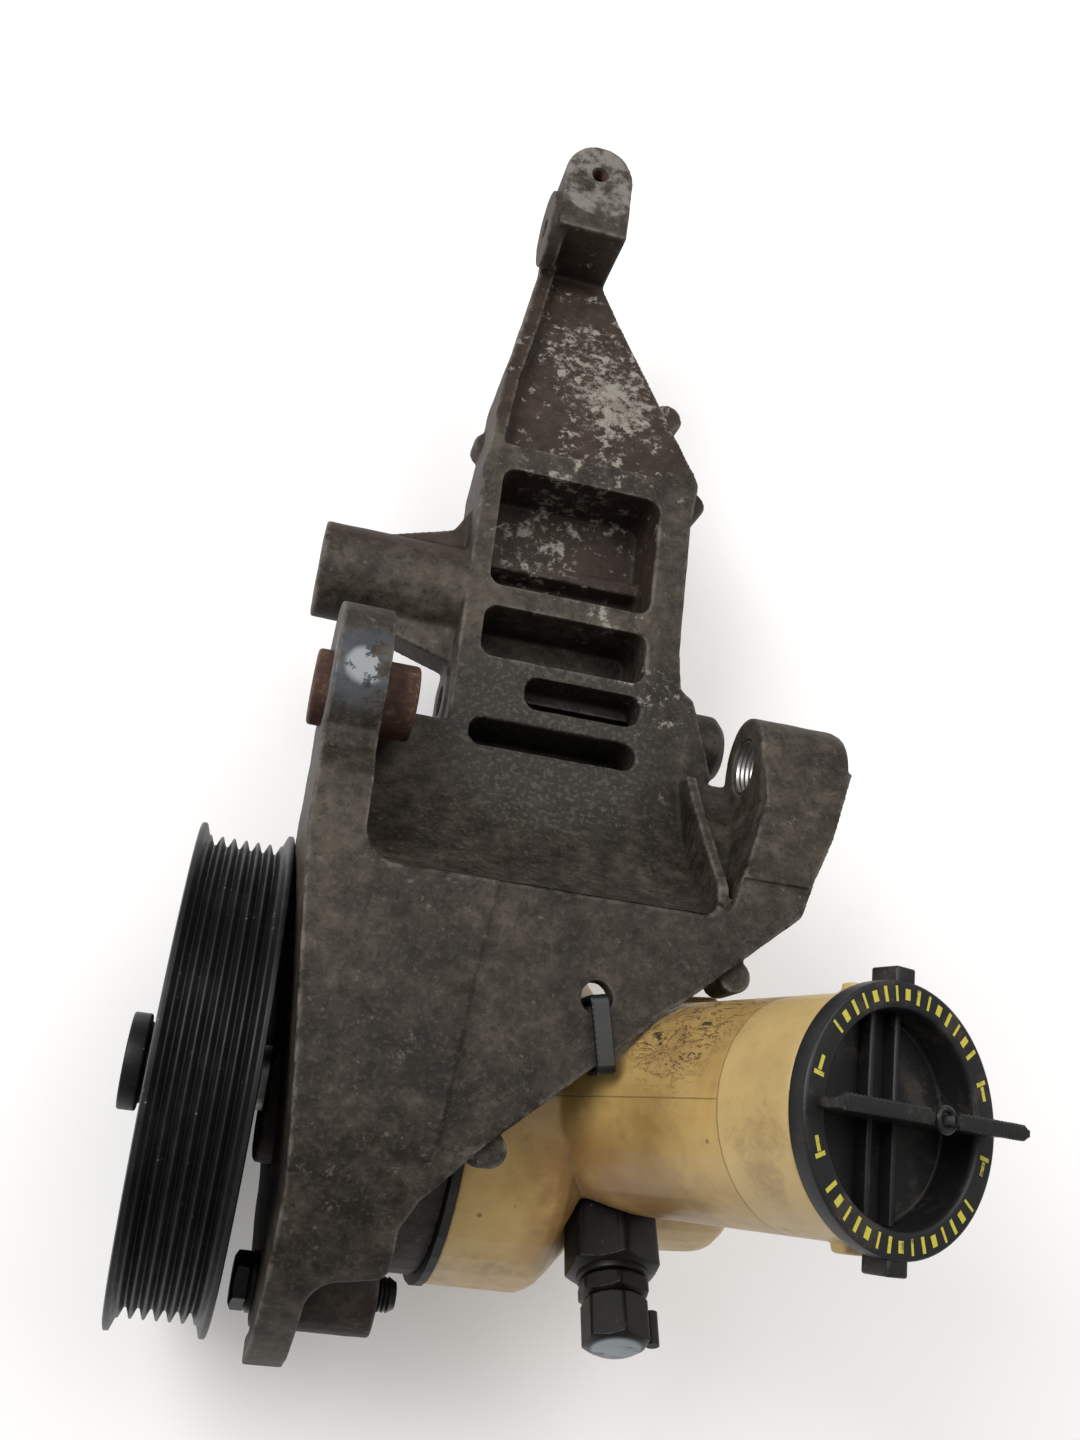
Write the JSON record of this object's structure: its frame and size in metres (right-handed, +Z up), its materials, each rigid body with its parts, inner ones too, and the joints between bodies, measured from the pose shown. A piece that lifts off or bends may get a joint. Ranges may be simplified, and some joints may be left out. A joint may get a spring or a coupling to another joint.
{
  "type": "power steering pump",
  "caption": "Belt-driven vane pump with ribbed pulley, translucent reservoir with filler cap, and cast bracket with saddle, pivot bosses and arm.",
  "frame": {"origin": "centre of the front face of the drive shaft, in the plane of the hub's front face", "axes": "+X runs along the shaft from the pulley into the pump, +Z is up on the engine, +Y runs along the bracket's arm"},
  "size_m": [0.2089, 0.4119, 0.2274],
  "materials": {
    "cast_bracket": "weathered dark casting",
    "cast_pump": "stained dark casting",
    "pulley_black": "satin black",
    "black_steel": "black oxide",
    "bright_steel": "machined",
    "ground_steel": "ground",
    "spring_steel": "drawn wire",
    "bronze": "sintered bronze",
    "rusty_steel": "rusty",
    "black_rubber": "matt",
    "amber_plastic": "translucent amber moulding",
    "cap_plastic": "grained black moulding",
    "tie_plastic": "glossy black"
  },
  "bodies": {
    "pump": {"bracket": "cast_bracket", "front_cover": "cast_pump", "shaft_bush": "bronze", "shaft_seal": "black_rubber", "pump_housing": "cast_pump", "cam_ring": "ground_steel", "pressure_plate": "bright_steel", "pressure_spring": "spring_steel", "dowel_pin_1": "bright_steel", "dowel_pin_2": "bright_steel", "union_seal": "black_rubber", "outlet_union": "black_steel", "union_adapter": "black_steel", "blanking_plug": "black_steel", "plug_strap_stub": "black_rubber", "valve_spring": "spring_steel", "reservoir": "amber_plastic", "reservoir_seal": "black_rubber", "pump_bolt_1": "black_steel", "pump_bolt_2": "black_steel", "pump_bolt_3": "black_steel", "pivot_bush": "rusty_steel", "thread_insert": "bright_steel", "cable_tie": "tie_plastic"},
    "rotating": {"pulley": "pulley_black", "pulley_hub": "pulley_black", "drive_shaft": "bright_steel", "rotor": "ground_steel", "vane_01": "bright_steel", "vane_02": "bright_steel", "vane_03": "bright_steel", "vane_04": "bright_steel", "vane_05": "bright_steel", "vane_06": "bright_steel", "vane_07": "bright_steel", "vane_08": "bright_steel", "vane_09": "bright_steel", "vane_10": "bright_steel"},
    "cap_seal": {"cap_gasket": "black_rubber"},
    "cap": {"filler_cap": "cap_plastic"},
    "valve": {"flow_valve": "bright_steel"}
  },
  "joints": [
    {"name": "shaft_spin", "type": "hinge", "parent": "pump", "child": "rotating", "pos_m": [0, 0, 0], "axis": [1, 0, 0], "continuous": true},
    {"name": "cap_turn", "type": "hinge", "parent": "pump", "child": "cap_seal", "pos_m": [0.17836, 0.0031, 0.13439], "axis": [0.3289, 0, 0.9444], "range_deg": [0, 90]},
    {"name": "cap_lift", "type": "slide", "parent": "cap_seal", "child": "cap", "axis": [0.3289, 0, 0.9444], "range_m": [0, 0.04]},
    {"name": "valve_slide", "type": "slide", "parent": "pump", "child": "valve", "axis": [0, -0.8829, 0.4695], "range_m": [-0.006, 0], "stiffness_N_per_m": 1500, "springref_m": 0.004, "deforming": ["valve_spring"]}
  ]
}
